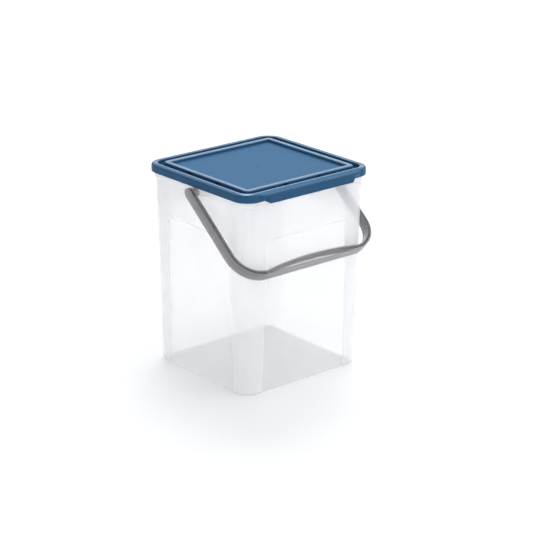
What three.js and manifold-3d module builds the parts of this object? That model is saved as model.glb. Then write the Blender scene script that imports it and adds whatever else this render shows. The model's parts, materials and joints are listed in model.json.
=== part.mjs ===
// A clear household storage tub with a press-on lid and a swinging bail handle.
// Millimetres, +Z up. The origin is the centre of the tub's underside, -Y is the front,
// where the lid has its grip flap, and the handle's pivots are on the +X and -X sides.
import * as THREE from "three";
import { mergeVertices } from "three/addons/utils/BufferGeometryUtils.js";
import Module from "manifold-3d";

const wasm = await Module();
wasm.setup();

const ARC_POINTS = 8; // straight pieces in each rounded corner
const ROUND_POINTS = 32; // sides of a round boss, hole or stud
const THROUGH = 20; // how far a cutter runs past the face it opens
const WIDE = 200; // half width of a cutter that is wider than the whole part
const LEAST_CORNER = 0.8; // an outline set in from another keeps at least this corner

// Tub: outside half sizes at the base and at the shoulder, where the straight taper ends.
const TUB_BASE = { x: 93.3, y: 89.2, corner: 17.5 };
const TUB_SHOULDER_Z = 243.8;
const TUB_TOP_SCALE = 1.05; // size at the shoulder over size at the base
const WALL = 1.6;
const FLOOR = 2;
const FOOT_ROUND = 3; // rounding of the bottom edge
const RIM_TOP_Z = 258.4;

// The stepped collar above the shoulder, from the bottom up: how far each step stands
// out of the wall, and the height it starts at.
const COLLAR = [
  { out: 1.2, z: TUB_SHOULDER_Z },
  { out: 2.3, z: 247.9 },
  { out: 1.1, z: 250.9 },
  { out: 2.3, z: 254.9 },
];

// Panels sunk into the four walls, which leave a column at each corner.
const PANEL = { sunk: 1.2, topZ: 198, corner: 9, widen: 4.5 };
const FRONT_PANEL_HALF = 63.5;
const SIDE_PANEL_HALF = 59.5;

// Upright ribs inside the front and back walls, which keep nested tubs apart.
const NEST_RIB = { x: 75, width: 8, deep: 2.2, bottomZ: 217, foot: 6, toe: 0.6 };

// Pivots of the handle.
const PIVOT_Z = 244;
const BOSS = { radius: 5.8, hole: 3.9, pocket: 4.7, face: 104.9, pocketFrom: 99, pocketTo: 101.4 };
const STUD = { radius: 3.55, head: 4.3, headFrom: 99.4, headTo: 101 };

// Lid.
const LID = { x: 103, y: 98, corner: 21.7, crownZ: 260.7, skirtZ: 250.6, round: 3, wall: 1.5 };
const CROWN_INNER = { x: 94.7, y: 90, corner: 14 }; // groove side of the crown
const PLUG = { x: 96.1, y: 91.5, corner: 16, bottomZ: 250.4 }; // outside of the plug in the mouth
const GROOVE_Z = 255.8;
const RIB = { x: 86.6, y: 81.7, corner: 5, width: 6.6, topZ: 261.5, round: 0.8 };
const LID_PANEL_Z = 257.5;
// Blind slots in the groove, which also run up the rib's outer face as niches.
const SLOT = { along: 27, length: 7, out: 2.2, into: 2.4, bottomZ: 252.6, topZ: 259.8, skin: 1 };
const HOOK = { along: 27, length: 12, proud: 0.8, z: 251.6, height: 1.6 };
const FLAP = { face: 102.4, topHalf: 78, lipHalf: 66, lipZ: 247.2, slope: 5.7, round: 1.4, root: 0.4 };
const FLAP_POCKET = { count: 5, half: 63.5, web: 1.2 }; // hollows behind the flap's face, open below

// Handle: a U of H-shaped section. Distances down the arm are from the pivot's axis.
const BAIL = { half: 111.4, reach: 135.3, corner: 38.3, deep: 13, armWidth: 5.9, gripBulge: 5.4 };
const FLANGE = 1.6;
const WEB = 1.8;
const BAIL_DROOP = THREE.MathUtils.degToRad(39.6); // angle of the hanging arm below level

const material = {
  clearTub: new THREE.MeshStandardMaterial({ color: 0xeef0f4, roughness: 0.35, metalness: 0 }),
  blueLid: new THREE.MeshStandardMaterial({ color: 0x4a7aa6, roughness: 0.5, metalness: 0 }),
  smokeHandle: new THREE.MeshStandardMaterial({ color: 0x8e8e98, roughness: 0.3, metalness: 0 }),
};

// ---- joining and cutting ----

function solid(geometry) {
  const bare = geometry.clone();
  bare.deleteAttribute("normal");
  bare.deleteAttribute("uv");
  const merged = mergeVertices(bare, 1e-4);
  return new wasm.Manifold(
    new wasm.Mesh({
      numProp: 3,
      vertProperties: merged.getAttribute("position").array,
      triVerts: new Uint32Array(merged.index.array),
    }),
  );
}

function meshOf(shape, name, look) {
  const made = shape.getMesh();
  const geometry = new THREE.BufferGeometry();
  geometry.setAttribute("position", new THREE.BufferAttribute(made.vertProperties, 3));
  geometry.setIndex(new THREE.BufferAttribute(made.triVerts, 1));
  geometry.computeVertexNormals();
  const mesh = new THREE.Mesh(geometry, look);
  mesh.name = name;
  return mesh;
}

function join(pieces) {
  return pieces.reduce((whole, piece) => whole.add(piece));
}

// ---- shapes ----

function roundedRectangle(halfX, halfY, corner) {
  const shape = new THREE.Shape();
  shape.moveTo(halfX - corner, -halfY);
  shape.absarc(halfX - corner, -halfY + corner, corner, -Math.PI / 2, 0);
  shape.absarc(halfX - corner, halfY - corner, corner, 0, Math.PI / 2);
  shape.absarc(-halfX + corner, halfY - corner, corner, Math.PI / 2, Math.PI);
  shape.absarc(-halfX + corner, -halfY + corner, corner, Math.PI, 1.5 * Math.PI);
  return shape;
}

// A rounded-rectangle block standing between two heights, in by an even margin all round.
function block(size, inset, bottomZ, topZ) {
  const corner = Math.max(size.corner - inset, LEAST_CORNER);
  const outline = roundedRectangle(size.x - inset, size.y - inset, corner);
  const geometry = new THREE.ExtrudeGeometry(outline, {
    depth: topZ - bottomZ,
    bevelEnabled: false,
    curveSegments: ARC_POINTS,
  });
  return solid(geometry.translate(0, 0, bottomZ));
}

// The same block with its top and bottom edges rounded.
function roundedBlock(size, round, bottomZ, topZ) {
  const outline = roundedRectangle(size.x - round, size.y - round, size.corner - round);
  const geometry = new THREE.ExtrudeGeometry(outline, {
    depth: topZ - bottomZ - 2 * round,
    bevelThickness: round,
    bevelSize: round,
    bevelSegments: 3,
    curveSegments: ARC_POINTS,
  });
  return geometry.translate(0, 0, bottomZ + round);
}

// Widens a geometry evenly with height, as the tub's walls lean out.
function leanOut(geometry) {
  const position = geometry.getAttribute("position");
  for (let i = 0; i < position.count; i += 1) {
    const scale = 1 + ((TUB_TOP_SCALE - 1) * position.getZ(i)) / TUB_SHOULDER_Z;
    position.setXY(i, position.getX(i) * scale, position.getY(i) * scale);
  }
  return geometry;
}

function box(x0, x1, y0, y1, z0, z1) {
  const geometry = new THREE.BoxGeometry(x1 - x0, y1 - y0, z1 - z0);
  return solid(geometry.translate((x0 + x1) / 2, (y0 + y1) / 2, (z0 + z1) / 2));
}

// A cylinder along X at the height of the handle's pivots.
function pivotCylinder(radius, x0, x1) {
  const geometry = new THREE.CylinderGeometry(radius, radius, Math.abs(x1 - x0), ROUND_POINTS);
  geometry.rotateZ(Math.PI / 2);
  return solid(geometry.translate((x0 + x1) / 2, 0, PIVOT_Z));
}

// ---- tub ----

// A block that fills the sunk panel of the front wall: its inner face lies `depth` under
// the wall, and its outline is `margin` bigger than the panel's.
function frontPanelBlock(half, wallY, depth, margin) {
  const top = PANEL.topZ + margin;
  const topHalf = half + margin;
  const bottomHalf = half + PANEL.widen + margin;
  const round = PANEL.corner;
  const outline = new THREE.Shape();
  outline.moveTo(-bottomHalf, -THROUGH);
  outline.lineTo(bottomHalf, -THROUGH);
  outline.lineTo(topHalf, top - round);
  outline.absarc(topHalf - round, top - round, round, 0, Math.PI / 2);
  outline.absarc(-topHalf + round, top - round, round, Math.PI / 2, Math.PI);
  const geometry = new THREE.ExtrudeGeometry(outline, {
    depth: THROUGH,
    bevelEnabled: false,
    curveSegments: ARC_POINTS,
  });
  const lean = Math.atan((wallY * (TUB_TOP_SCALE - 1)) / TUB_SHOULDER_Z);
  geometry.rotateX(Math.PI / 2 + lean);
  return geometry.translate(0, -wallY + depth, 0);
}

function panelBlocks(depth, margin) {
  const front = () => frontPanelBlock(FRONT_PANEL_HALF, TUB_BASE.y, depth, margin);
  const side = () => frontPanelBlock(SIDE_PANEL_HALF, TUB_BASE.x, depth, margin);
  return join([
    solid(front()),
    solid(front().rotateZ(Math.PI)),
    solid(side().rotateZ(Math.PI / 2)),
    solid(side().rotateZ(-Math.PI / 2)),
  ]);
}

function tubSolid() {
  const top = TUB_SHOULDER_Z + THROUGH;
  const shell = roundedBlock(TUB_BASE, FOOT_ROUND, 0, top + FOOT_ROUND);
  const inner = {
    x: TUB_BASE.x - WALL,
    y: TUB_BASE.y - WALL,
    corner: TUB_BASE.corner - WALL,
  };
  const hollow = roundedBlock(inner, FOOT_ROUND, FLOOR, top + 2 * FOOT_ROUND);
  const scale = TUB_TOP_SCALE;
  const wall = {
    x: TUB_BASE.x * scale,
    y: TUB_BASE.y * scale,
    corner: TUB_BASE.corner * scale,
  };
  const collar = COLLAR.map((step, i) => {
    const stepTop = i + 1 < COLLAR.length ? COLLAR[i + 1].z : RIM_TOP_Z;
    return block(wall, -step.out, step.z, stepTop);
  });
  const bossRoot = wall.x - WALL / 2;
  const bosses = [-1, 1].map((side) => pivotCylinder(BOSS.radius, side * bossRoot, side * BOSS.face));
  const outside = solid(leanOut(shell))
    .subtract(panelBlocks(PANEL.sunk, 0))
    .subtract(box(-WIDE, WIDE, -WIDE, WIDE, TUB_SHOULDER_Z, top + THROUGH))
    .add(join(collar))
    .add(join(bosses));
  const ribs = [-1, 1].flatMap((sideX) =>
    [-1, 1].map((sideY) => nestRib(sideX * NEST_RIB.x, sideY, wall.y)),
  );
  const inside = solid(leanOut(hollow))
    .subtract(panelBlocks(PANEL.sunk + WALL, WALL))
    .subtract(join(ribs));
  const pockets = [-1, 1].map((side) =>
    pivotCylinder(BOSS.hole, side * BOSS.pocketFrom, side * (BOSS.face + THROUGH)).add(
      pivotCylinder(BOSS.pocket, side * BOSS.pocketFrom, side * BOSS.pocketTo),
    ),
  );
  return outside.subtract(inside).subtract(join(pockets));
}

// One upright rib on the inside of the front or back wall, with a sloped foot.
function nestRib(x, sideY, wallY) {
  const profile = new THREE.Shape();
  const face = wallY - WALL - NEST_RIB.deep;
  profile.moveTo(wallY + WALL, NEST_RIB.bottomZ);
  profile.lineTo(wallY - WALL - NEST_RIB.toe, NEST_RIB.bottomZ);
  profile.lineTo(face, NEST_RIB.bottomZ + NEST_RIB.foot);
  profile.lineTo(face, TUB_SHOULDER_Z);
  profile.lineTo(wallY + WALL, TUB_SHOULDER_Z);
  const geometry = new THREE.ExtrudeGeometry(profile, {
    depth: NEST_RIB.width,
    bevelEnabled: false,
  });
  geometry.rotateX(Math.PI / 2);
  geometry.rotateZ(Math.PI / 2);
  geometry.translate(-NEST_RIB.width / 2, 0, 0);
  if (sideY < 0) geometry.rotateZ(Math.PI);
  return solid(geometry.translate(x, 0, 0));
}

// ---- lid ----

// The same small box near the middle of each side of the lid, twice on each side.
function onEachSide(along, makeBox) {
  return [0, 1, 2, 3].flatMap((quarter) =>
    [-along, along].map((shift) => {
      const reach = quarter % 2 ? "y" : "x";
      return solid(makeBox(reach).translate(0, shift, 0).rotateZ((quarter * Math.PI) / 2));
    }),
  );
}

function flapSolid() {
  const step = FLAP.face - LID.y;
  const rootY = -LID.y + FLAP.root;
  const plan = new THREE.Shape();
  plan.moveTo(-FLAP.topHalf - 2 * step, -LID.y + step);
  plan.lineTo(-FLAP.topHalf - step, rootY);
  plan.quadraticCurveTo(-FLAP.topHalf, -LID.y, -FLAP.topHalf + step / 2, -FLAP.face + FLAP.round);
  plan.lineTo(FLAP.topHalf - step / 2, -FLAP.face + FLAP.round);
  plan.quadraticCurveTo(FLAP.topHalf, -LID.y, FLAP.topHalf + step, rootY);
  plan.lineTo(FLAP.topHalf + 2 * step, -LID.y + step);
  const geometry = new THREE.ExtrudeGeometry(plan, {
    depth: LID.crownZ - FLAP.lipZ - FLAP.round,
    bevelThickness: FLAP.round,
    bevelSize: FLAP.round,
    bevelSegments: 3,
    curveSegments: 4,
  });
  const lipTop = LID.skirtZ;
  const top = LID.crownZ + THROUGH;
  const face = new THREE.Shape();
  face.moveTo(-LID.x, top);
  face.lineTo(-LID.x, lipTop);
  face.lineTo(-FLAP.lipHalf - FLAP.slope, lipTop);
  face.lineTo(-FLAP.lipHalf, FLAP.lipZ);
  face.lineTo(FLAP.lipHalf, FLAP.lipZ);
  face.lineTo(FLAP.lipHalf + FLAP.slope, lipTop);
  face.lineTo(LID.x, lipTop);
  face.lineTo(LID.x, top);
  const trim = new THREE.ExtrudeGeometry(face, { depth: 2 * THROUGH, bevelEnabled: false });
  trim.rotateX(Math.PI / 2).translate(0, -LID.y + THROUGH, 0);
  return solid(geometry.translate(0, 0, FLAP.lipZ)).intersect(solid(trim));
}

// The hollows between the flap's face and the skirt, kept apart by upright webs.
function flapPockets() {
  const pitch = (2 * FLAP_POCKET.half + FLAP_POCKET.web) / FLAP_POCKET.count;
  const pockets = [];
  for (let i = 0; i < FLAP_POCKET.count; i += 1) {
    const start = -FLAP_POCKET.half + i * pitch;
    const end = start + pitch - FLAP_POCKET.web;
    const faceInside = -FLAP.face + LID.wall;
    pockets.push(box(start, end, faceInside, -LID.y, FLAP.lipZ - 1, LID.crownZ - LID.wall));
  }
  return join(pockets);
}

function lidSolid() {
  const below = LID.skirtZ - THROUGH;
  const above = RIB.topZ + THROUGH;
  const crown = solid(roundedBlock(LID, LID.round, below, LID.crownZ)).subtract(
    box(-WIDE, WIDE, -WIDE, WIDE, below - 1, LID.skirtZ),
  );
  const ribFoot = GROOVE_Z - 2 * LID.wall;
  const ribOuter = solid(roundedBlock(RIB, RIB.round, ribFoot, RIB.topZ));
  const skirtInside = block(LID, LID.wall, below, LID.crownZ - LID.wall);
  const plugOutside = block(PLUG, 0, PLUG.bottomZ, LID.crownZ);
  const plugInside = block(CROWN_INNER, 0, below, GROOVE_Z - LID.wall);
  const groove = block(CROWN_INNER, 0, GROOVE_Z, above).subtract(block(RIB, 0, below, above));
  const ribHollow = block(RIB, LID.wall, below, RIB.topZ - LID.wall).subtract(
    block(RIB, RIB.width - LID.wall, below, above),
  );
  const panelTop = block(RIB, RIB.width, LID_PANEL_Z, above);
  const panelUnder = block(RIB, RIB.width - LID.wall, below, LID_PANEL_Z - LID.wall);

  const slotBox = (into, out, length, z0, z1) => (reach) =>
    new THREE.BoxGeometry(out + into, length, z1 - z0).translate(
      RIB[reach] + (out - into) / 2,
      0,
      (z0 + z1) / 2,
    );
  const { into, out, skin } = SLOT;
  const wellLength = SLOT.length + 2 * skin;
  const wellZ = SLOT.bottomZ - skin;
  const wells = [
    ...onEachSide(SLOT.along, slotBox(into, out + skin, wellLength, wellZ, GROOVE_Z - LID.wall / 2)),
    ...onEachSide(SLOT.along, slotBox(into + skin, -skin / 2, wellLength, wellZ, SLOT.topZ + skin)),
  ];
  const slots = onEachSide(SLOT.along, slotBox(into, out, SLOT.length, SLOT.bottomZ, SLOT.topZ));
  const hooks = onEachSide(HOOK.along, (reach) =>
    new THREE.BoxGeometry(HOOK.proud + LID.wall / 2, HOOK.length, HOOK.height).translate(
      LID[reach] - LID.wall - (HOOK.proud - LID.wall / 2) / 2,
      0,
      HOOK.z + HOOK.height / 2,
    ),
  );

  return crown
    .add(flapSolid().subtract(flapPockets()))
    .subtract(skirtInside)
    .add(plugOutside)
    .subtract(plugInside)
    .subtract(groove)
    .add(ribOuter)
    .subtract(ribHollow)
    .subtract(panelTop)
    .subtract(panelUnder)
    .add(join(wells))
    .subtract(join(slots))
    .add(join(hooks));
}

// ---- handle ----

// The U drawn with its pivots on y = 0 and its grip below, in by a margin all round.
// The grip's inner edge is an arc that swells towards the arms' side.
function bailOutline(inset, endY) {
  const half = BAIL.half - inset;
  const inHalf = BAIL.half - BAIL.armWidth + inset;
  const low = -BAIL.reach + inset;
  const corner = BAIL.corner - inset;
  const inCorner = BAIL.corner - BAIL.armWidth + inset;
  const inLow = -BAIL.reach + BAIL.armWidth - inset;
  const straight = inHalf - inCorner;
  const archRadius = (straight ** 2 + BAIL.gripBulge ** 2) / (2 * BAIL.gripBulge);
  const archHalfAngle = Math.asin(straight / archRadius);
  const shape = new THREE.Shape();
  shape.moveTo(-half, endY);
  shape.absarc(-half + corner, low + corner, corner, Math.PI, 1.5 * Math.PI);
  shape.absarc(half - corner, low + corner, corner, 1.5 * Math.PI, 2 * Math.PI);
  shape.lineTo(half, endY);
  shape.lineTo(inHalf, endY);
  shape.absarc(straight, inLow + inCorner, inCorner, 0, -Math.PI / 2, true);
  shape.absarc(
    0,
    inLow + BAIL.gripBulge - archRadius,
    archRadius,
    Math.PI / 2 - archHalfAngle,
    Math.PI / 2 + archHalfAngle,
  );
  shape.absarc(-straight, inLow + inCorner, inCorner, -Math.PI / 2, -Math.PI, true);
  shape.lineTo(-inHalf, endY);
  return shape;
}

function bailSlab(inset, endY, z0, z1) {
  const geometry = new THREE.ExtrudeGeometry(bailOutline(inset, endY), {
    depth: z1 - z0,
    bevelEnabled: false,
    curveSegments: 2 * ARC_POINTS,
  });
  return solid(geometry.translate(0, 0, z0));
}

// Seen from the side the arms end in a half circle about the pivot.
function roundedEnds() {
  const radius = BAIL.deep / 2;
  const side = new THREE.Shape();
  side.moveTo(-BAIL.reach - 1, -radius);
  side.absarc(0, 0, radius, -Math.PI / 2, Math.PI / 2);
  side.lineTo(-BAIL.reach - 1, radius);
  const geometry = new THREE.ExtrudeGeometry(side, {
    depth: 2 * BAIL.half + 2,
    bevelEnabled: false,
    curveSegments: ROUND_POINTS / 2,
  });
  geometry.rotateX(Math.PI / 2);
  geometry.rotateZ(Math.PI / 2);
  return solid(geometry.translate(-BAIL.half - 1, 0, 0));
}

function bailSolid() {
  const half = BAIL.deep / 2;
  const channelEnd = half - FLANGE / 2;
  const body = bailSlab(0, half, -half, half)
    .intersect(roundedEnds())
    .subtract(bailSlab(FLANGE, channelEnd, WEB / 2, half + 1))
    .subtract(bailSlab(FLANGE, channelEnd, -half - 1, -WEB / 2));
  const armInside = BAIL.half - BAIL.armWidth;
  const studs = [-1, 1].map((side) =>
    pivotCylinder(STUD.radius, side * STUD.headFrom, side * (armInside + FLANGE / 2)).add(
      pivotCylinder(STUD.head, side * STUD.headFrom, side * STUD.headTo),
    ),
  );
  return body.add(join(studs).translate(0, 0, -PIVOT_Z));
}

// ---- assembly ----

const tub = meshOf(tubSolid(), "tub", material.clearTub);
const lid = meshOf(lidSolid(), "lid", material.blueLid);
const handle = meshOf(bailSolid(), "bail_handle", material.smokeHandle);

const handlePivot = new THREE.Group();
handlePivot.position.set(0, 0, PIVOT_Z);
handlePivot.rotation.x = BAIL_DROOP;
handlePivot.add(handle);

const storageTub = new THREE.Group();
storageTub.add(tub, lid, handlePivot);

export default storageTub;
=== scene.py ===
"""A clear storage tub with a blue press-on lid and a smoky bail handle, in metres, on a pale floor."""

import json
import math

import bmesh
import bpy
from mathutils import Matrix, Vector


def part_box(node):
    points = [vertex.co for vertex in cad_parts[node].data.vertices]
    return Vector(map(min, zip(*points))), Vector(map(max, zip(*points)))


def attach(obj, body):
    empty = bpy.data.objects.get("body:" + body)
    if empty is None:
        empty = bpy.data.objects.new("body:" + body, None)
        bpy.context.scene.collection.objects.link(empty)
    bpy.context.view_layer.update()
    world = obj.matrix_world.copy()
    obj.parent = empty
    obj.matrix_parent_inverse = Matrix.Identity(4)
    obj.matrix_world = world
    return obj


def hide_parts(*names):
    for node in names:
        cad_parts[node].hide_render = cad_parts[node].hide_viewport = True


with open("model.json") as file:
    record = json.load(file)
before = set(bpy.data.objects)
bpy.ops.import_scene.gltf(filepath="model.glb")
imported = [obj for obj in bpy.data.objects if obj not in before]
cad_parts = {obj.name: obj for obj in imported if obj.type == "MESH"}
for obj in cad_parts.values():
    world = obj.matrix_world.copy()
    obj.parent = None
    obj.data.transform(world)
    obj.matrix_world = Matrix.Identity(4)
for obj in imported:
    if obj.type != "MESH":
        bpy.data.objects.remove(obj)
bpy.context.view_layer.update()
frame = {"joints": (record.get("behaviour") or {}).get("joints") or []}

MM = 0.001

# ---- sizes in millimetres, as the frame has them ----

LID_LOW, LID_HIGH = [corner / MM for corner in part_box("lid")]
TUB_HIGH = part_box("tub")[1] / MM
BAIL_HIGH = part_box("bail_handle")[1] / MM
HINGE = next(j for j in frame["joints"] if j["name"] == "handle_swing")
PIVOT_Z = HINGE["pos_m"][2] / MM

# Tub: outside half sizes at the base, and the height where its straight walls end.
BASE_X, BASE_Y, BASE_CORNER = 93.3, 89.2, 17.5
SHOULDER_Z = 243.8
TOP_SCALE = 1.05
WALL = 1.6
FLOOR = 2.0
FOOT_ROUND = 3.0
FLOOR_EDGE = 9.0
RIM_TOP = TUB_HIGH.z
# The collar under the lid: a step, a bead, a neck for the lid's hooks, and the rim. OUT is how far each
# stands out from the wall.
STEP_OUT, BEAD_OUT, NECK_OUT, RIM_OUT = 1.2, 2.3, 1.1, 2.3
BEAD_LOW, NECK_LOW, RIM_LOW = 247.9, 250.9, 254.9
COLLAR_ROUND = 0.35
# The sunk panel of each wall.
PANEL_SUNK = 1.2
PANEL_TOP = 198.0
PANEL_CORNER = 9.0
PANEL_WIDEN = 4.5
PANEL_EDGE = 1.5
PANEL_REACH = 1.1
# Distances inwards from a panel's edge, where its round corners and its soft edge need points.
PANEL_FINE = [0.75 * k for k in range(15, 1, -1)] + [PANEL_REACH, 0.75, 0.4, 0, -0.4, -0.75, -PANEL_REACH]
PANEL_MIDDLE = 12.0
FRONT_PANEL_HALF = 63.5
SIDE_PANEL_HALF = 59.5
# The nesting ribs stand between these parts of the way from a panel to the wall's end.
NEST_DEEP = 2.2
NEST_LOW, NEST_SLOPE = 217.0, 6.0
NEST_FROM, NEST_TO = 0.45, 0.95
# The bosses hold the handle's studs: a hole through the face, and a wider pocket behind it for the head.
BOSS_FACE = TUB_HIGH.x
BOSS_ROOT = 97.2
BOSS_RADIUS = 5.8
HOLE_RADIUS = 3.9
POCKET_RADIUS = 4.7
POCKET_IN, POCKET_OUT = 99.0, 101.4
STUD_PLAY, HEAD_PLAY = 0.35, 0.4
AXIS_RADIUS = 0.05

# Lid: outside half sizes and corner, then heights.
LID_X, LID_Y, LID_CORNER = LID_HIGH.x, LID_HIGH.y, 21.7
LID_TOP = LID_HIGH.z
CROWN_Z = 260.7
SKIRT_Z = 250.6
GROOVE_Z = 255.8
LID_PANEL_Z = 257.5
UNDER_CROWN_Z, UNDER_GROOVE_Z, UNDER_RIB_Z, UNDER_PANEL_Z = 259.2, 254.3, 260.0, 256.0
PLUG_Z = 250.4
LID_WALL = 1.5
# Insets from the lid's sides: the crown's inner edge, the groove, the rib on top, the panel, and below
# them the plug wall and the hollow of the rib.
CROWN_IN = 8.2
GROOVE_OUT, GROOVE_IN = 8.6, 16.2
RIB_OUT, RIB_IN = 16.5, 22.9
LID_PANEL_OUT, LID_PANEL_IN = 23.2, 25.0
PLUG_OUT, PLUG_IN = 6.9, 8.3
HOLLOW_OUT, HOLLOW_IN = 17.9, 21.5
# The grip flap bulges out of the front. Its bulge is full up to FLAP_FULL from the middle, and gone at
# FLAP_END, and both are given at the skirt's lower edge and at the top.
FLAP_OUT = -LID_LOW.y - LID_Y
FLAP_DROP = SKIRT_Z - LID_LOW.z
FLAP_FULL = (66.0, 71.0)
FLAP_END = (71.7, 81.3)
FLAP_STEP_INSET = 4.4
FLAP_LEDGE = 1.2
# The flap's top reaches down this far from the crown, its face is this thick, and its lower edge stands
# this far back from its face. The hollows behind it lie at a pitch, with a web between two.
FLAP_TOP_DEEP = 3.2
FLAP_SKIN = 1.2
FLAP_LIP = 0.8
POCKETS = 5
POCKET_PITCH = 25.64
POCKET_WEB = 1.2
# The slots in the groove's inner wall and the hooks on the skirt, both twice on each side.
SLOT_ALONG = 27.0
SLOT_HALF = 3.5
SLOT_OUT, SLOT_IN = 14.2, 18.8
SLOT_LOW, SLOT_TOP = 252.6, 259.8
SLOT_WALL = 1.0
HOOK_HALF = 6.0
HOOK_OUT, HOOK_IN = 1.2, 2.3
HOOK_LOW, HOOK_TOP = 251.6, 253.2
# The tops of the crown and the rib lie above this height, and their up-facing faces get painted light.
# Further in than the line, the crown gets a painted highlight.
PAINTED_TOP_Z = 259.7
LAND_LINE = 5.8

# Handle: a U of H-shaped section. Distances down the arm are from the pivots.
BAIL_HALF = BAIL_HIGH.x
BAIL_REACH = 135.3
BAIL_CORNER = 38.3
BAIL_DEEP = 13.0
ARM_WIDTH = 5.9
GRIP_BULGE = 5.4
FLANGE = 1.6
WEB = 1.8
BAIL_CHANNEL_FROM = 3.1
# The rim of each flange slopes down to the channel, over this width and by this height.
RIM_BEVEL = 1.1
RIM_SLOPE = 0.62
BAIL_ROUND = 0.35
DROOP = math.radians(39.6)

# Points round a lathed solid and round a corner of the tub or lid, the distance within which points
# merge, and the angle from which an edge stays sharp.
LATHE_STEPS = 40
CORNER_STEPS = 12
MERGE = 0.0005
CREASE = math.radians(34)
# Only an outline's stretches longer than this get more points, and none nearer its ends than the step.
LONG_STRETCH = 20
LEAST_STEP = 0.2


# ---- mesh helpers ----


def filleted(corners, steps=4):
    """Rounds the corners of an open outline. A corner is (x, y, radius), and an end keeps its point."""
    points = [Vector(corners[0][:2])]
    for before, here, after in zip(corners, corners[1:], corners[2:]):
        middle = Vector(here[:2])
        back = (Vector(before[:2]) - middle).normalized()
        on = (Vector(after[:2]) - middle).normalized()
        if here[2] == 0:
            points.append(middle)
            continue
        half = back.angle(on) / 2
        reach = here[2] / math.tan(half)
        centre = middle + (back + on).normalized() * (here[2] / math.sin(half))
        start, end = middle + back * reach - centre, middle + on * reach - centre
        turn = start.angle_signed(end)
        for k in range(steps + 1):
            points.append(centre + Matrix.Rotation(-turn * k / steps, 2) @ start)
    points.append(Vector(corners[-1][:2]))
    return points


def with_heights(points, heights):
    """Adds a point at each given height to the long upright stretches of an outline."""
    out = [points[0]]
    for a, b in zip(points, points[1:]):
        if abs(a.x - b.x) < 1e-6 and abs(a.y - b.y) > LONG_STRETCH:
            low, high = min(a.y, b.y) + LEAST_STEP, max(a.y, b.y) - LEAST_STEP
            inside = [h for h in heights if low < h < high]
            for h in sorted(inside, reverse=b.y < a.y):
                out.append(Vector((a.x, h)))
        out.append(b)
    return out


def rounded_ring(half_x, half_y, corner, across_x, across_y):
    """Points round a rounded rectangle, counter-clockwise from above, as (x, y, side, across).

    side is 0 to 3 for front, right, back and left, and None in a corner.
    """
    centre_x, centre_y = half_x - corner, half_y - corner
    points = []
    for side in range(4):
        across = across_x if side % 2 == 0 else across_y
        out = half_y if side % 2 == 0 else half_x
        turn = side * math.pi / 2
        cos, sin = math.cos(turn), math.sin(turn)
        for c in across:
            points.append((c * cos + out * sin, c * sin - out * cos, side, c))
        cx = centre_x if side in (0, 1) else -centre_x
        cy = centre_y if side in (1, 2) else -centre_y
        for k in range(1, CORNER_STEPS):
            angle = turn - math.pi / 2 + math.pi / 2 * k / CORNER_STEPS
            points.append((cx + corner * math.cos(angle), cy + corner * math.sin(angle), None, 0))
    return points


def skin(rings):
    """A bmesh through rings of equal length, with flat caps on the first and the last."""
    bm = bmesh.new()
    rows = [[bm.verts.new(p) for p in ring] for ring in rings]
    for a, b in zip(rows, rows[1:]):
        for k in range(len(a)):
            n = (k + 1) % len(a)
            bm.faces.new((a[k], a[n], b[n], b[k]))
    bm.faces.new(rows[0][::-1])
    bm.faces.new(rows[-1])
    return bm


def lathe_x(outline, side):
    """A round solid about the line of the pivots. Its outline is (distance out, radius)."""
    rings = []
    for out, radius in outline:
        ring = []
        for k in range(LATHE_STEPS):
            angle = 2 * math.pi * k / LATHE_STEPS
            ring.append((side * out, radius * math.cos(angle), PIVOT_Z + radius * math.sin(angle)))
        rings.append(ring)
    return skin(rings)


def box_mesh(low, high):
    """A box between two opposite corners."""
    bm = bmesh.new()
    bmesh.ops.create_cube(bm, size=1)
    size = Vector(high) - Vector(low)
    middle = (Vector(high) + Vector(low)) / 2
    place = Matrix.Translation(middle) @ Matrix.Diagonal((*size, 1))
    bmesh.ops.transform(bm, matrix=place, verts=bm.verts)
    return bm


def add_to(bm, others):
    """Puts copies of other bmeshes into one, as loose parts of it."""
    for other in others:
        mesh = bpy.data.meshes.new("loose")
        other.to_mesh(mesh)
        other.free()
        bm.from_mesh(mesh)
        bpy.data.meshes.remove(mesh)
    return bm


def object_of(bm, name):
    """Turns a bmesh in millimetres into an object in metres."""
    bmesh.ops.remove_doubles(bm, verts=bm.verts, dist=MERGE)
    bmesh.ops.scale(bm, vec=(MM, MM, MM), verts=bm.verts)
    bmesh.ops.recalc_face_normals(bm, faces=bm.faces)
    mesh = bpy.data.meshes.new(name)
    bm.to_mesh(mesh)
    bm.free()
    obj = bpy.data.objects.new(name, mesh)
    bpy.context.collection.objects.link(obj)
    return obj


def cut(obj, cutter_bm, operation="DIFFERENCE"):
    """Cuts an object with a bmesh in millimetres, or joins the two, and keeps the result as its mesh."""
    cutter = object_of(cutter_bm, "cutter")
    change = obj.modifiers.new("cut", "BOOLEAN")
    change.operation = operation
    change.solver = "EXACT"
    change.use_self = True
    change.object = cutter
    bpy.context.view_layer.update()
    evaluated = obj.evaluated_get(bpy.context.evaluated_depsgraph_get())
    made = bpy.data.meshes.new_from_object(evaluated)
    old = obj.data
    obj.modifiers.clear()
    obj.data = made
    made.name = obj.name
    bpy.data.meshes.remove(old)
    bpy.data.objects.remove(cutter)


def shade(obj):
    """Smooth shading that keeps creases, with the big flat faces deciding the normals."""
    bm = bmesh.new()
    bm.from_mesh(obj.data)
    for face in bm.faces:
        face.smooth = True
    for edge in bm.edges:
        if len(edge.link_faces) == 2:
            edge.smooth = edge.calc_face_angle(0) < CREASE
    bm.to_mesh(obj.data)
    bm.free()
    weighted = obj.modifiers.new("normals", "WEIGHTED_NORMAL")
    weighted.keep_sharp = True
    weighted.weight = 50


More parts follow.
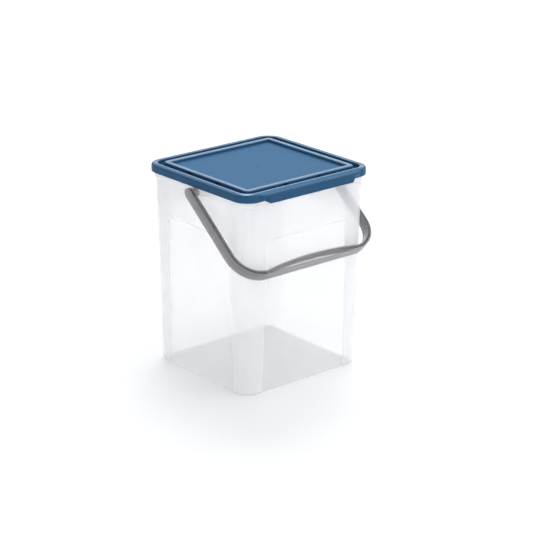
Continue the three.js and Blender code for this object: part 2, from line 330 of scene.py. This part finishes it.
def paint(obj, materials, choose):
    """Gives an object its materials, and each face the one whose number the choice returns."""
    for material in materials:
        obj.data.materials.append(material)
    for face in obj.data.polygons:
        face.material_index = choose(face)


# ---- materials ----

PLASTIC_IOR = 1.49
# The part of the noise's range that a ramp spreads out. SOFT avoids flat patches in pale plastic.
SHARP = (0.3, 0.7)
SOFT = (0.1, 0.9)


def new_material(name, **values):
    """A Principled material, with its constant values set on the shader's own sockets."""
    material = bpy.data.materials.new(name)
    material.use_nodes = True
    nodes = material.node_tree.nodes
    shader = nodes.get("Principled BSDF")
    for key, value in values.items():
        shader.inputs[key].default_value = value
    return material, material.node_tree, shader


def noise(tree, scale, detail):
    """Cloudy noise over the object, with so many features to the metre."""
    coordinates = tree.nodes.new("ShaderNodeTexCoord")
    texture = tree.nodes.new("ShaderNodeTexNoise")
    texture.inputs["Scale"].default_value = scale
    texture.inputs["Detail"].default_value = detail
    tree.links.new(coordinates.outputs["Object"], texture.inputs["Vector"])
    return texture.outputs["Fac"]


def ramp(tree, source, low, high, from_low=SHARP[0], from_high=SHARP[1]):
    """Maps a value to a range, or to two colours."""
    if isinstance(low, tuple):
        node = tree.nodes.new("ShaderNodeMix")
        node.data_type = "RGBA"
        node.inputs["A"].default_value = (*low, 1)
        node.inputs["B"].default_value = (*high, 1)
        tree.links.new(ramp(tree, source, 0.0, 1.0, from_low, from_high), node.inputs["Factor"])
        return node.outputs["Result"]
    node = tree.nodes.new("ShaderNodeMapRange")
    node.inputs["From Min"].default_value = from_low
    node.inputs["From Max"].default_value = from_high
    node.inputs["To Min"].default_value = low
    node.inputs["To Max"].default_value = high
    tree.links.new(source, node.inputs["Value"])
    return node.outputs["Result"]


def bump(tree, source, depth):
    node = tree.nodes.new("ShaderNodeBump")
    node.inputs["Distance"].default_value = depth
    tree.links.new(source, node.inputs["Height"])
    return node.outputs["Normal"]


def clear_plastic(name, alpha, light):
    """Natural polypropylene: milky, faintly blue and see-through. It glows with the light around it."""
    values = {"IOR": PLASTIC_IOR, "Subsurface Weight": 1.0, "Subsurface Scale": 0.01}
    material, tree, shader = new_material(name, **values)
    shader.inputs["Subsurface Radius"].default_value = (1, 1, 1)
    cloud = noise(tree, 14, 3)
    deep = Vector((0.965, 0.97, 1)) * (light - 0.01)
    pale = Vector((0.97, 0.975, 1)) * light
    tree.links.new(ramp(tree, cloud, tuple(deep), tuple(pale), *SOFT), shader.inputs["Base Color"])
    tree.links.new(ramp(tree, noise(tree, 45, 3), 0.26, 0.34, *SOFT), shader.inputs["Roughness"])
    tree.links.new(ramp(tree, cloud, alpha - 0.01, alpha + 0.01, *SOFT), shader.inputs["Alpha"])
    tree.links.new(bump(tree, noise(tree, 260, 2), 0.00006), shader.inputs["Normal"])
    return material


def blue_plastic(name, light, roughness, gloss, mottle, grain, depth):
    """Opaque blue polypropylene. The grain is the fine texture left by the mould."""
    material, tree, shader = new_material(name, **{"IOR": PLASTIC_IOR, "Specular IOR Level": gloss})
    cloud = noise(tree, mottle, 3)
    deep = Vector((0.023, 0.092, 0.19)) * light
    pale = Vector((0.028, 0.106, 0.214)) * light
    tree.links.new(ramp(tree, cloud, tuple(deep), tuple(pale)), shader.inputs["Base Color"])
    tree.links.new(ramp(tree, cloud, roughness - 0.03, roughness + 0.04), shader.inputs["Roughness"])
    tree.links.new(bump(tree, noise(tree, grain, 2), depth), shader.inputs["Normal"])
    return material


def smoke_plastic(name, alpha, light):
    """Smoky see-through polypropylene. Where the moulding is thin its alpha is lower, except on the arms'
    web, where a high alpha and a dark base colour paint the shade of the channel.
    """
    material, tree, shader = new_material(name, **{"IOR": PLASTIC_IOR, "Specular IOR Level": 0.6})
    cloud = noise(tree, 60, 3)
    deep = Vector((0.965, 0.955, 1)) * light * 0.95
    pale = Vector((0.97, 0.96, 1)) * light
    tree.links.new(ramp(tree, cloud, tuple(deep), tuple(pale)), shader.inputs["Base Color"])
    tree.links.new(ramp(tree, cloud, 0.16, 0.22), shader.inputs["Roughness"])
    tree.links.new(ramp(tree, cloud, alpha - 0.01, alpha + 0.01), shader.inputs["Alpha"])
    tree.links.new(bump(tree, noise(tree, 400, 2), 0.000005), shader.inputs["Normal"])
    return material


# ---- tub ----


def tub_scale(z):
    """The tub widens evenly from its base to its shoulder."""
    return 1 + (TOP_SCALE - 1) * min(max(z, 0), SHOULDER_Z) / SHOULDER_Z


def panel_half(top_half, z):
    """Half the width of a panel, which widens downwards."""
    return top_half + PANEL_WIDEN * max(0, 1 - z / PANEL_TOP)


def panel_sunk(across, z, top_half):
    """How far a point of a wall lies under the wall's plane, with a soft edge round the panel."""
    from_side = panel_half(top_half, z) - abs(across)
    from_top = PANEL_TOP - z
    inside = min(from_side, from_top)
    if from_side < PANEL_CORNER and from_top < PANEL_CORNER:
        inside = PANEL_CORNER - math.hypot(PANEL_CORNER - from_side, PANEL_CORNER - from_top)
    t = min(max(inside / PANEL_EDGE + 0.5, 0), 1)
    smooth_step = t * t * (3 - 2 * t)
    return PANEL_SUNK * smooth_step


def wall_columns(top_half, straight, z):
    """Places across a wall, closer together at the panel's edge and at the nesting ribs."""
    edge = panel_half(top_half, z)
    half = [(edge - PANEL_MIDDLE) * f for f in (0.25, 0.5, 0.75)] + [edge - d for d in PANEL_FINE]
    last = half[-1]
    half += [last + (straight - last) * f for f in (0.2, 0.41, 0.46, 0.7, 0.94, 0.98, 1)]
    return [-c for c in reversed(half)] + [0] + half


def nest_rib(side, across, straight, z, edge):
    """How far the inside of the front or back wall stands in, at the upright nesting ribs."""
    if side is None or side % 2 or not NEST_LOW < z < SHOULDER_Z:
        return 0
    place = (abs(across) - edge - PANEL_REACH) / (straight - edge - PANEL_REACH)
    if not NEST_FROM < place < NEST_TO:
        return 0
    return NEST_DEEP * min(1, (z - NEST_LOW) / NEST_SLOPE)


def tub_ring(out, z, inside):
    """A level ring of the tub's outside or inside, which stands out from the wall's plane by a distance."""
    scale = tub_scale(z)
    straight_x = (BASE_X - BASE_CORNER) * scale
    straight_y = (BASE_Y - BASE_CORNER) * scale
    corner = max(BASE_CORNER * scale + out, 1)
    points = []
    across_x = wall_columns(FRONT_PANEL_HALF, straight_x, z)
    across_y = wall_columns(SIDE_PANEL_HALF, straight_y, z)
    ring = rounded_ring(straight_x + corner, straight_y + corner, corner, across_x, across_y)
    surface = -WALL if inside else 0
    for x, y, side, across in ring:
        sink = 0
        if side is not None and z < SHOULDER_Z:
            top_half = SIDE_PANEL_HALF if side % 2 else FRONT_PANEL_HALF
            sink = max(0, panel_sunk(across, z, top_half) - (surface - out))
            if inside:
                sink += nest_rib(side, across, straight_x, z, panel_half(top_half, z))
            turn = side * math.pi / 2
            x, y = x - sink * math.sin(turn), y + sink * math.cos(turn)
        points.append((x, y, z))
    return points


def tub_mesh():
    """The tub as one skin: up its outside, over the rim and down its inside."""
    outside = filleted(
        [
            (-FLOOR_EDGE, 0, 0),
            (0, 0, FOOT_ROUND),
            (0, SHOULDER_Z, 0.3),
            (STEP_OUT, SHOULDER_Z, COLLAR_ROUND),
            (STEP_OUT, BEAD_LOW, 0.3),
            (BEAD_OUT, BEAD_LOW, COLLAR_ROUND),
            (BEAD_OUT, NECK_LOW, COLLAR_ROUND),
            (NECK_OUT, NECK_LOW, 0.2),
            (NECK_OUT, RIM_LOW, 0.2),
            (RIM_OUT, RIM_LOW, 0.4),
            (RIM_OUT, RIM_TOP, 0.9),
            (0, RIM_TOP, 0),
        ]
    )
    inside = filleted(
        [
            (0, RIM_TOP, 0),
            (-WALL, RIM_TOP, 0.7),
            (-WALL, FLOOR, FOOT_ROUND),
            (-FLOOR_EDGE, FLOOR, 0),
        ]
    )
    near_top = [PANEL_TOP - d for d in PANEL_FINE[1:]]
    coarse = [8, *range(20, 161, 20), 175, 205, 211, 230, 238]
    ribs = [NEST_LOW - 0.2, NEST_LOW, NEST_LOW + NEST_SLOPE, SHOULDER_Z - 0.6, SHOULDER_Z - 0.1]
    heights = sorted(near_top + coarse + ribs)
    rings = [tub_ring(p.x, p.y, False) for p in with_heights(outside, heights)]
    rings += [tub_ring(p.x, p.y, True) for p in with_heights(inside, heights)[1:]]
    return skin(rings)


def boss_mesh(side):
    """A boss that the handle turns in, open at its face for the stud."""
    outline = filleted(
        [
            (BOSS_ROOT, AXIS_RADIUS, 0),
            (BOSS_ROOT, BOSS_RADIUS, 0),
            (BOSS_FACE, BOSS_RADIUS, 0.7),
            (BOSS_FACE, HOLE_RADIUS, 0.3),
            (POCKET_OUT, HOLE_RADIUS, 0),
            (POCKET_OUT, POCKET_RADIUS, 0),
            (POCKET_IN, POCKET_RADIUS, 0),
            (POCKET_IN, AXIS_RADIUS, 0),
        ]
    )
    return lathe_x(outline, side)


def paint_tub(face):
    """The number of a face's material: 0 on the walls, 1 on the panels and the floor, 2 on the collar."""
    x, y, z = face.center / MM
    if z > SHOULDER_Z - 0.5:
        return 2
    if abs(face.normal.z) >= 0.3:
        return 1 if z < FLOOR + 0.1 else 0
    front = abs(face.normal.y) > 0.9
    across, half = (x, FRONT_PANEL_HALF) if front else (y, SIDE_PANEL_HALF)
    return 1 if panel_sunk(across, z, half) > PANEL_SUNK / 2 else 0


def make_tub(frosted, clear, collar):
    bm = add_to(tub_mesh(), [boss_mesh(side) for side in (-1, 1)])
    tub = object_of(bm, "tub_body_shell")
    paint(tub, (frosted, clear, collar), paint_tub)
    shade(tub)
    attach(tub, "tub_body")
    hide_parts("tub")


# ---- lid ----

# Places along half a side of the lid, closest together where the flap ends.
LID_PLACES = (20, 40, 55, 62, *range(65, 72), 71.7, *range(73, 81), 80.8, 81.3)


def flap_bulge(x, z):
    """How much of the flap's bulge a place has: it rolls off to the flap's ends and stops in a crease."""
    up = min(max((z - SKIRT_Z) / (CROWN_Z - 3 - SKIRT_Z), 0), 1)
    full = FLAP_FULL[0] + (FLAP_FULL[1] - FLAP_FULL[0]) * up
    end = FLAP_END[0] + (FLAP_END[1] - FLAP_END[0]) * up
    return 1 - min(max((abs(x) - full) / (end - full), 0), 1) ** 2


def flap_shift(inset, z, x):
    """How far a point of the front side moves out and down to make the flap."""
    if inset > FLAP_STEP_INSET:
        return 0, 0
    if z > SKIRT_Z + 1:
        on_top = z > CROWN_Z - FLAP_TOP_DEEP
        bulge = flap_bulge(x, z) if on_top or inset < FLAP_SKIN else 0
        return FLAP_OUT * bulge, FLAP_LEDGE * bulge if on_top else 0
    if inset > LID_WALL / 2:
        return 0, 0
    drop = min(max((FLAP_END[0] - abs(x)) / (FLAP_END[0] - FLAP_FULL[0]), 0), 1)
    return (FLAP_OUT - FLAP_LIP) * flap_bulge(x, SKIRT_Z), FLAP_DROP * drop


def lid_ring(inset, z):
    """A level ring of the lid, with the flap pulled out of its front side."""
    corner = max(LID_CORNER - inset, 0.9)
    half_x, half_y = LID_X - inset, LID_Y - inset
    across = []
    for straight in (half_x - corner, half_y - corner):
        half = [straight * place / LID_PLACES[-1] for place in LID_PLACES]
        across.append([-c for c in reversed(half)] + [0] + half)
    points = []
    for x, y, side, place in rounded_ring(half_x, half_y, corner, *across):
        out, down = flap_shift(inset, z, place) if side == 0 else (0, 0)
        points.append((x, y - out, z - down))
    return points


def lid_mesh():
    """The lid as one skin, from the panel's top over the crown and the skirt to the panel's underside."""
    outline = filleted(
        [
            (LID_PANEL_IN, LID_PANEL_Z, 0),
            (LID_PANEL_OUT, LID_PANEL_Z, 0.8),
            (RIB_IN, LID_TOP, 1.5),
            (RIB_OUT, LID_TOP, 1.5),
            (GROOVE_IN, GROOVE_Z, 0.9),
            (GROOVE_OUT, GROOVE_Z, 0.9),
            (CROWN_IN, CROWN_Z, 1.0),
            (6.6, CROWN_Z, 0),
            (FLAP_STEP_INSET + 0.25, CROWN_Z - 0.2, 0),
            (FLAP_STEP_INSET, CROWN_Z - 0.25, 0),
            (0, CROWN_Z - 0.7, 2.6),
            (0, SKIRT_Z, 0.4),
            (LID_WALL / 2 - 0.01, SKIRT_Z, 0),
            (LID_WALL / 2 + 0.01, SKIRT_Z, 0),
            (LID_WALL, SKIRT_Z, 0.4),
            (LID_WALL, UNDER_CROWN_Z, 0.5),
            (PLUG_OUT, UNDER_CROWN_Z, 0.5),
            (PLUG_OUT, PLUG_Z, 0.5),
            (PLUG_IN, PLUG_Z, 0.5),
            (PLUG_IN, UNDER_GROOVE_Z, 0.5),
            (HOLLOW_OUT, UNDER_GROOVE_Z, 0.5),
            (HOLLOW_OUT, UNDER_RIB_Z, 0.4),
            (HOLLOW_IN, UNDER_RIB_Z, 0.4),
            (HOLLOW_IN, UNDER_PANEL_Z, 0.5),
            (LID_PANEL_IN, UNDER_PANEL_Z, 0),
        ],
        steps=5,
    )
    return skin([lid_ring(p.x, p.y) for p in outline])


def on_each_side(out, inside, half, low, high):
    """Boxes twice on each side of the lid, between two insets and two heights."""
    made = []
    for quarter, reach in enumerate((LID_X, LID_Y, LID_X, LID_Y)):
        for middle in (-SLOT_ALONG, SLOT_ALONG):
            bm = box_mesh((reach - inside, middle - half, low), (reach - out, middle + half, high))
            turn = Matrix.Rotation(quarter * math.pi / 2, 3, "Z")
            bmesh.ops.rotate(bm, matrix=turn, verts=bm.verts)
            made.append(bm)
    return made


def slot_wells():
    """The walls round the slots: one part under the groove, and one in the hollow of the rib."""
    half, low = SLOT_HALF + SLOT_WALL, SLOT_LOW - SLOT_WALL
    wells = on_each_side(SLOT_OUT - SLOT_WALL, 16.6, half, low, GROOVE_Z - 0.7)
    return wells + on_each_side(16.55, SLOT_IN + SLOT_WALL, half, low, SLOT_TOP + 0.5)


def gate_mark():
    """The round witness of the mould's gate, in the middle of the panel."""
    rings = []
    outline = ((3.1, -0.3), (3.1, 0.02), (2.9, 0.16), (2.6, 0.2), (1.3, 0.2), (1.1, 0.12), (0.8, 0.02))
    for radius, height in outline:
        angles = [2 * math.pi * k / 32 for k in range(32)]
        z = LID_PANEL_Z + height
        rings.append([(radius * math.cos(a), radius * math.sin(a), z) for a in angles])
    return skin(rings)


def flap_pockets():
    """The hollows behind the flap's face, open below, with thin webs between them."""
    front = -LID_Y - FLAP_OUT + LID_WALL
    made = []
    for k in range(POCKETS):
        start = (k - POCKETS / 2) * POCKET_PITCH + POCKET_WEB / 2
        low = (start, front, SKIRT_Z - FLAP_DROP - 1)
        high = (start + POCKET_PITCH - POCKET_WEB, -LID_Y, CROWN_Z - FLAP_LEDGE - 1.7)
        made.append(box_mesh(low, high))
    return made


def split_crown(bm):
    """Cuts the faces along the land line, so that the crown's inner edge can have its own material, a
    painted highlight.
    """
    for along, reach in ((Vector((1, 0, 0)), LID_X - LAND_LINE), (Vector((0, 1, 0)), LID_Y - LAND_LINE)):
        for side in (-1, 1):
            everything = bm.verts[:] + bm.edges[:] + bm.faces[:]
            at = along * side * reach
            bmesh.ops.bisect_plane(bm, geom=everything, plane_co=at, plane_no=along)


def paint_lid(face):
    """The number of a face's material: 0 on the skirt and groove, 1 on the lid's panel and the crown's
    outer top, a lighter blue that paints light from above on these tops, 2 on the crown's inner edge and
    the rib's top, a glossier blue with a painted highlight.
    """
    x, y, z = face.center / MM
    inset = min(LID_X - abs(x), LID_Y - abs(y))
    if inset > LID_PANEL_OUT + 0.1 and face.normal.z > 0.9 and z > LID_PANEL_Z - 0.1:
        return 1
    on_rib = inset > GROOVE_IN - 0.2
    if z <= PAINTED_TOP_Z or face.normal.z <= (0.2 if on_rib else 0.97):
        return 0
    return 2 if inset > LAND_LINE else 1


def make_lid(satin, textured_lit_top, painted_highlight):
    """The lid, with its slots cut and its hooks and gate mark added."""
    lid = object_of(lid_mesh(), "lid_cover")
    wells = slot_wells()
    cut(lid, add_to(wells[0], wells[1:]), "UNION")
    hollows = on_each_side(SLOT_OUT, SLOT_IN, SLOT_HALF, SLOT_LOW, SLOT_TOP) + flap_pockets()
    cut(lid, add_to(hollows[0], hollows[1:]))
    bm = bmesh.new()
    bm.from_mesh(lid.data)
    bmesh.ops.scale(bm, vec=(1 / MM,) * 3, verts=bm.verts)
    split_crown(bm)
    add_to(bm, [gate_mark(), *on_each_side(HOOK_OUT, HOOK_IN, HOOK_HALF, HOOK_LOW, HOOK_TOP)])
    bpy.data.objects.remove(lid)
    lid = object_of(bm, "lid_cover")
    paint(lid, (satin, textured_lit_top, painted_highlight), paint_lid)
    shade(lid)
    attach(lid, "lid_body")
    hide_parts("lid")


# ---- handle ----


def bail_stations():
    """Pairs of points, on the outer and inner edge of the U, from the left end round to the right.

    A point is (across, distance down the arm).
    """
    corner_a = BAIL_REACH - BAIL_CORNER
    straight = BAIL_HALF - BAIL_CORNER
    radius = (straight**2 + GRIP_BULGE**2) / (2 * GRIP_BULGE)
    round_end = [-BAIL_DEEP / 2 * math.cos(math.radians(10 + 80 * k / 8)) for k in range(9)]
    arm = round_end + [corner_a * k / 12 for k in range(1, 12)]
    pairs = [((-BAIL_HALF, a), (-BAIL_HALF + ARM_WIDTH, a)) for a in arm]
    for k in range(25):
        angle = math.pi / 2 * k / 24
        pair = []
        for r in (BAIL_CORNER, BAIL_CORNER - ARM_WIDTH):
            pair.append((-straight - r * math.cos(angle), corner_a + r * math.sin(angle)))
        pairs.append(tuple(pair))
    for k in range(1, 40):
        u = -straight + 2 * straight * k / 40
        rise = math.sqrt(radius**2 - u**2) - (radius - GRIP_BULGE)
        pairs.append(((u, BAIL_REACH), (u, BAIL_REACH - ARM_WIDTH - rise)))
    left = [p for p in pairs if p[0][0] < -straight + 1e-6]
    right = [((-o[0], o[1]), (-i[0], i[1])) for o, i in reversed(left)]
    return pairs + right


def bail_ring(outer, inner, half):
    """One cross-section of the handle, in world millimetres."""
    outer, inner = Vector(outer), Vector(inner)
    width = (inner - outer).length
    inward = (inner - outer) / width
    hollow = half > BAIL_CHANNEL_FROM
    web = WEB / 2 if hollow else half - 0.05
    slope = RIM_SLOPE if hollow else 0.02
    corner = BAIL_ROUND if hollow else 0.01
    quarter = filleted(
        [
            (0, 0, 0),
            (0, half, min(BAIL_ROUND, 0.4 * half)),
            (FLANGE - RIM_BEVEL, half, 0.1),
            (FLANGE, half - slope, corner / 3),
            (FLANGE, web, corner),
            (width / 2, web, 0),
        ],
        3,
    )
    top = [(p.x, p.y) for p in quarter[1:]]
    top += [(width - x, n) for x, n in reversed(top[:-1])]
    section = top + [(x, -n) for x, n in reversed(top)]
    points = []
    for across, n in section:
        flat = outer + inward * across
        y = -flat.y * math.cos(DROOP) - n * math.sin(DROOP)
        z = PIVOT_Z - flat.y * math.sin(DROOP) + n * math.cos(DROOP)
        points.append((flat.x, y, z))
    return points


def stud_mesh(side):
    """A headed stud, which starts inside the arm's inner flange."""
    root = BAIL_HALF - ARM_WIDTH + FLANGE / 2
    stud, head = HOLE_RADIUS - STUD_PLAY, POCKET_RADIUS - HEAD_PLAY
    head_out, head_in = POCKET_OUT - HEAD_PLAY, POCKET_IN + HEAD_PLAY
    outline = filleted(
        [
            (root, AXIS_RADIUS, 0),
            (root, stud, 0),
            (head_out, stud, 0),
            (head_out, head, 0.3),
            (head_in, head, 0.5),
            (head_in, AXIS_RADIUS, 0),
        ]
    )
    return lathe_x(outline, side)


def paint_bail(face):
    """The number of a face's material: 0 on the flanges, 1 on the arms' web, dark as painted shade in their
    channel, 2 on the grip's web, lighter as painted light.
    """
    x, y, z = face.center / MM
    off_web = (z - PIVOT_Z) * math.cos(DROOP) - y * math.sin(DROOP)
    facing = face.normal.z * math.cos(DROOP) - face.normal.y * math.sin(DROOP)
    if abs(off_web) >= WEB / 2 + 0.3 or abs(facing) <= 0.8:
        return 0
    return 2 if abs(x) < BAIL_HALF - BAIL_CORNER else 1


def make_bail(flange, shaded_arm_web, lit_grip_web):
    """The handle: sections round the U, narrower at the round ends of the arms, and the two studs."""
    rings = []
    for outer, inner in bail_stations():
        a = min(outer[1], 0)
        half = math.sqrt((BAIL_DEEP / 2) ** 2 - a * a)
        rings.append(bail_ring(outer, inner, half))
    bm = add_to(skin(rings), [stud_mesh(side) for side in (-1, 1)])
    bail = object_of(bm, "bail_grip")
    paint(bail, (flange, shaded_arm_web, lit_grip_web), paint_bail)
    shade(bail)
    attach(bail, "handle_body")
    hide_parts("bail_handle")


# ---- stage ----

STAGE_HALF = 8000
STAGE_GAP = 0.4


def make_floor():
    """A pale floor, just under the tub's foot."""
    bm = bmesh.new()
    bmesh.ops.create_grid(bm, x_segments=2, y_segments=2, size=STAGE_HALF)
    floor = object_of(bm, "floor")
    floor.location.z = -STAGE_GAP * MM
    material, tree, shader = new_material("pale_floor", **{"Roughness": 0.9, "Specular IOR Level": 0.1})
    tint = ramp(tree, noise(tree, 3, 2), (0.84, 0.845, 0.85), (0.86, 0.86, 0.86))
    tree.links.new(tint, shader.inputs["Base Color"])
    floor.data.materials.append(material)


def sun(name, azimuth, elevation, spread, strength):
    """A far soft light. Azimuth is the side it comes from, in degrees round from +Y towards +X."""
    light = bpy.data.lights.new(name, "SUN")
    light.angle = math.radians(spread)
    light.energy = strength
    obj = bpy.data.objects.new(name, light)
    bpy.context.collection.objects.link(obj)
    a, e = math.radians(azimuth), math.radians(elevation)
    towards = Vector((math.sin(a) * math.cos(e), math.cos(a) * math.cos(e), math.sin(e)))
    obj.rotation_euler = towards.to_track_quat("Z", "Y").to_euler()


def make_lights():
    """A bright even sky, and three broad lights that shape the lid and the walls."""
    world = bpy.data.worlds.new("studio")
    bpy.context.scene.world = world
    world.use_nodes = True
    sky = world.node_tree.nodes["Background"]
    sky.inputs["Color"].default_value = (0.97, 0.98, 1, 1)
    sky.inputs["Strength"].default_value = 0.82
    sun("back_top", 40, 43, 44, 1.5)
    sun("right_front", 115, 40, 75, 0.9)
    sun("front", 160, 25, 60, 0.45)


def make_camera():
    """The photograph's view: from the front left, a little above, through a long lens."""
    data = bpy.data.cameras.new("camera")
    data.sensor_width = 36
    data.lens = 129.2
    data.clip_start, data.clip_end = 0.05, 100
    camera = bpy.data.objects.new("camera", data)
    bpy.context.collection.objects.link(camera)
    place = Vector((-1.4662, -1.7378, 0.9377))
    yaw, pitch, roll = math.radians(40.42), math.radians(19.66), math.radians(0.26)
    level = Vector((math.sin(yaw), math.cos(yaw), 0))
    forward = level * math.cos(pitch) - Vector((0, 0, math.sin(pitch)))
    right = Vector((math.cos(yaw), -math.sin(yaw), 0))
    up = right.cross(forward)
    tilted_right = right * math.cos(roll) + up * math.sin(roll)
    tilted_up = up * math.cos(roll) - right * math.sin(roll)
    turn = Matrix((tilted_right, tilted_up, -forward)).transposed()
    camera.matrix_world = Matrix.Translation(place) @ turn.to_4x4()
    bpy.context.scene.camera = camera


make_camera()
make_tub(
    clear_plastic("clear_frosted", alpha=0.36, light=0.855),
    clear_plastic("clear_panel", alpha=0.18, light=0.88),
    clear_plastic("clear_collar", alpha=0.5, light=0.85),
)
make_lid(
    blue_plastic("blue_satin", 0.78, 0.3, gloss=0.08, mottle=30, grain=900, depth=0.00001),
    # partly painted light: a real moulded texture, with a base colour lighter than the satin's to paint
    # light from above on the lid's tops
    blue_plastic("blue_textured_lit_top", 1.15, 0.55, gloss=0.06, mottle=260, grain=1500, depth=0.00012),
    # painted highlight: a glossier blue with a much lighter base colour, for the bright lines along the
    # crown's inner edge and the rib's top
    blue_plastic("blue_painted_highlight", 1.3, 0.25, gloss=0.45, mottle=30, grain=900, depth=0.00001),
)
make_bail(
    smoke_plastic("smoke_flange", alpha=0.75, light=0.27),
    # painted shade: the arms' web is nearly opaque and dark, standing in for the shade in their channel
    smoke_plastic("smoke_arm_painted_shade", alpha=0.9, light=0.1),
    # partly painted light: the grip's thin web is see-through, and its base colour is lighter than the
    # flanges' as if lit from above
    smoke_plastic("smoke_grip_web_lit", alpha=0.3, light=0.36),
)
make_floor()
make_lights()
bpy.context.scene.view_settings.view_transform = "Standard"
